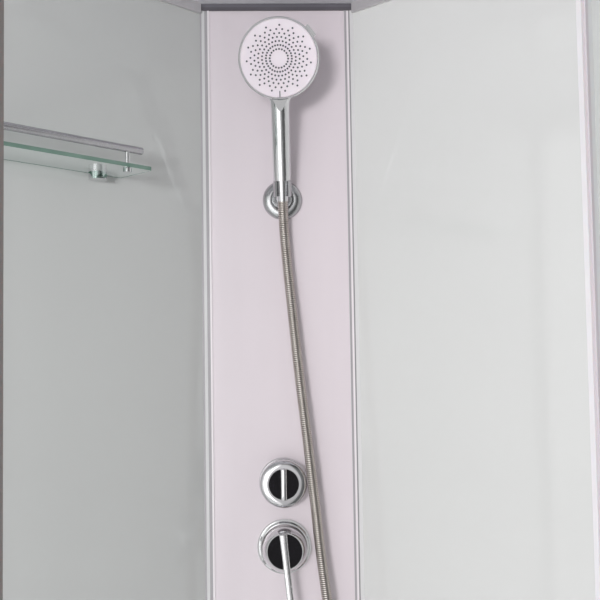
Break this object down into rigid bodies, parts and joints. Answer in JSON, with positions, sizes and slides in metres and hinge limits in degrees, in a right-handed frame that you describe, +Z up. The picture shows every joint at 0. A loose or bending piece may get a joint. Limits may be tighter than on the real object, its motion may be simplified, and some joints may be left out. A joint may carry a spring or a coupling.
{
  "type": "shower cabin",
  "caption": "Quadrant shower cabin with curved glass sliding doors, a back column carrying a mixer, diverter and hand shower, a glass shelf and a low tray.",
  "frame": {"origin": "centre of the square footprint, on the floor under the feet", "axes": "+Z up; seen from the doors, the left wall stands at -X and the right wall at +Y, the column stands in their corner and the doors open towards +X -Y"},
  "size_m": [0.9, 0.9, 2.15],
  "materials": {
    "acrylic": "gloss white acrylic",
    "steel_tube": "galvanised tube",
    "zinc_rod": "zinc plated thread",
    "black_plastic": "moulded foot",
    "grey_plastic": "moulded grey",
    "chrome": "polished chrome",
    "chrome_pipe": "plated pipe",
    "aluminium_profile": "satin silver anodised",
    "bright_aluminium": "bright anodised with a matt groove",
    "column_sheet": "satin silver with a lilac cast",
    "roof_plastic": "moulded sheet",
    "steel_screw": "plated screw",
    "shelf_glass": "frosted, green edges",
    "brass_body": "cast and turned",
    "black_gloss": "black insert",
    "white_plastic": "satin white",
    "hose_metal": "ribbed metallic hose",
    "wall_glass": "back-painted pale green-grey, opaque",
    "clear_glass": "clear safety glass",
    "seal_plastic": "milky magnetic seal",
    "wheel_plastic": "acetal wheel"
  },
  "bodies": {
    "cabin": {"tray": "acrylic", "front_apron": "acrylic", "bearers": "steel_tube", "foot_rods": "zinc_rod", "foot_pads": "black_plastic", "waste_trap": "grey_plastic", "waste_flange": "chrome", "wall_channels": "aluminium_profile", "column_panel": "column_sheet", "column_cap": "aluminium_profile", "bottom_rail": "aluminium_profile", "top_rail": "aluminium_profile", "roof_shell": "roof_plastic", "roof_screws": "steel_screw", "rain_head": "chrome", "feed_pipes": "chrome_pipe", "shelf_glass": "shelf_glass", "shelf_rail": "chrome", "shelf_posts": "chrome", "shelf_supports": "chrome", "valve_body": "brass_body", "mixer_ring": "chrome", "diverter_ring": "chrome", "outlet_elbow": "chrome", "outlet_nut": "chrome", "holder": "chrome", "shower_hose": "hose_metal", "wall_glass_left": "wall_glass", "wall_glass_right": "wall_glass", "corner_post_left": "aluminium_profile", "corner_post_right": "aluminium_profile", "column_trim_left": "bright_aluminium", "column_trim_right": "bright_aluminium", "fixed_glass_left": "clear_glass", "fixed_glass_right": "clear_glass"},
    "door_left": {"door_glass_left": "clear_glass", "door_seal_left": "seal_plastic", "door_handle_left": "chrome", "roller_hubs_left": "chrome", "door_guides_left": "grey_plastic"},
    "roller_front_left": {"roller_front_left": "wheel_plastic"},
    "roller_rear_left": {"roller_rear_left": "wheel_plastic"},
    "door_right": {"door_glass_right": "clear_glass", "door_seal_right": "seal_plastic", "door_handle_right": "chrome", "roller_hubs_right": "chrome", "door_guides_right": "grey_plastic"},
    "roller_front_right": {"roller_front_right": "wheel_plastic"},
    "roller_rear_right": {"roller_rear_right": "wheel_plastic"},
    "handset": {"handset_shell": "chrome", "spray_face": "white_plastic", "handset_nut": "chrome"},
    "selector": {"selector_ring": "chrome"},
    "mixer_spindle": {"mixer_spindle": "brass_body"},
    "mixer_handle": {"mixer_handle": "chrome", "mixer_insert": "black_gloss", "mixer_lever": "chrome"},
    "diverter": {"diverter_knob": "chrome", "diverter_insert": "black_gloss"},
    "waste_cover": {"waste_cover": "chrome"}
  },
  "joints": [
    {"name": "door_left", "type": "hinge", "parent": "cabin", "child": "door_left", "pos_m": [-0.1, 0.1, 0], "axis": [0, 0, -1], "range_deg": [-26.4, 1]},
    {"name": "roller_front_left_spin", "type": "hinge", "parent": "door_left", "child": "roller_front_left", "pos_m": [0.02483, -0.38365, 2.0703], "axis": [0.2499, -0.9683, 0], "continuous": true},
    {"name": "roller_rear_left_spin", "type": "hinge", "parent": "door_left", "child": "roller_rear_left", "pos_m": [-0.08281, -0.3992, 2.0703], "axis": [0.0344, -0.9994, 0], "continuous": true},
    {"name": "door_right", "type": "hinge", "parent": "cabin", "child": "door_right", "pos_m": [-0.1, 0.1, 0], "axis": [0, 0, 1], "range_deg": [-26.4, 1]},
    {"name": "roller_front_right_spin", "type": "hinge", "parent": "door_right", "child": "roller_front_right", "pos_m": [0.38365, -0.02483, 2.0703], "axis": [0.9683, -0.2499, 0], "continuous": true},
    {"name": "roller_rear_right_spin", "type": "hinge", "parent": "door_right", "child": "roller_rear_right", "pos_m": [0.3992, 0.08281, 2.0703], "axis": [0.9994, -0.0344, 0], "continuous": true},
    {"name": "handset_lift", "type": "slide", "parent": "cabin", "child": "handset", "axis": [0.2162, -0.2442, 0.9453], "range_m": [0, 0.04], "deforming": ["shower_hose"]},
    {"name": "selector_turn", "type": "hinge", "parent": "handset", "child": "selector", "pos_m": [-0.2739, 0.27504, 1.97531], "axis": [0.6734, -0.6638, -0.3255], "range_deg": [-30, 30]},
    {"name": "mixer_turn", "type": "hinge", "parent": "cabin", "child": "mixer_spindle", "pos_m": [-0.33619, 0.33619, 1.26], "axis": [0.7071, -0.7071, 0], "range_deg": [-50.7, 39.3]},
    {"name": "mixer_lift", "type": "hinge", "parent": "mixer_spindle", "child": "mixer_handle", "pos_m": [-0.32841, 0.32841, 1.26], "axis": [-0.7036, -0.7036, -0.0993], "range_deg": [0, 25]},
    {"name": "diverter_turn", "type": "hinge", "parent": "cabin", "child": "diverter", "pos_m": [-0.33477, 0.33477, 1.356], "axis": [0.7071, -0.7071, 0], "range_deg": [0, 90]},
    {"name": "waste_cover_lift", "type": "slide", "parent": "cabin", "child": "waste_cover", "axis": [0, 0, 1], "range_m": [0, 0.04]}
  ],
  "couplings": [
    {"joint": "roller_front_left_spin", "follows": "door_left", "ratio": 45.409},
    {"joint": "roller_rear_left_spin", "follows": "door_left", "ratio": 45.409},
    {"joint": "roller_front_right_spin", "follows": "door_right", "ratio": -45.409},
    {"joint": "roller_rear_right_spin", "follows": "door_right", "ratio": -45.409}
  ]
}
